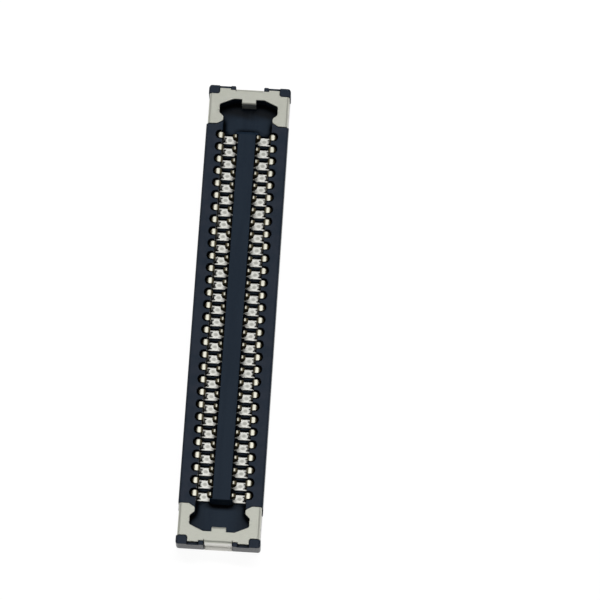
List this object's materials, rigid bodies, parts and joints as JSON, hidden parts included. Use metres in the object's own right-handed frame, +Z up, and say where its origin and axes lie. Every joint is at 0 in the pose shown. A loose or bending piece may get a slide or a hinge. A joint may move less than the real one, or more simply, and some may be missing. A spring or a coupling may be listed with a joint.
{
  "type": "board to board connector",
  "caption": "Low fine pitch board to board receptacle with two rows of formed spring contacts around a plug trough and a stamped metal hold-down at each end.",
  "frame": {"origin": "centre of the connector's outline on the solder plane", "axes": "+Y along the contact rows, +X across them, +Z up towards the mating side"},
  "size_m": [0.0022, 0.013, 0.0006],
  "materials": {
    "housing": "satin dark moulded polymer",
    "hold_down": "satin plated sheet with a warm cast",
    "contact": "pale gold flash over nickel"
  },
  "bodies": {
    "root": {"housing": "housing", "front_hold_down": "hold_down", "rear_hold_down": "hold_down", "contact_pair_01": "contact", "contact_pair_02": "contact", "contact_pair_03": "contact", "contact_pair_04": "contact", "contact_pair_05": "contact", "contact_pair_06": "contact", "contact_pair_07": "contact", "contact_pair_08": "contact", "contact_pair_09": "contact", "contact_pair_10": "contact", "contact_pair_11": "contact", "contact_pair_12": "contact", "contact_pair_13": "contact", "contact_pair_14": "contact", "contact_pair_15": "contact", "contact_pair_16": "contact", "contact_pair_17": "contact", "contact_pair_18": "contact", "contact_pair_19": "contact", "contact_pair_20": "contact", "contact_pair_21": "contact", "contact_pair_22": "contact", "contact_pair_23": "contact", "contact_pair_24": "contact", "contact_pair_25": "contact", "contact_pair_26": "contact", "contact_pair_27": "contact", "contact_pair_28": "contact", "contact_pair_29": "contact", "contact_pair_30": "contact"}
  },
  "joints": []
}
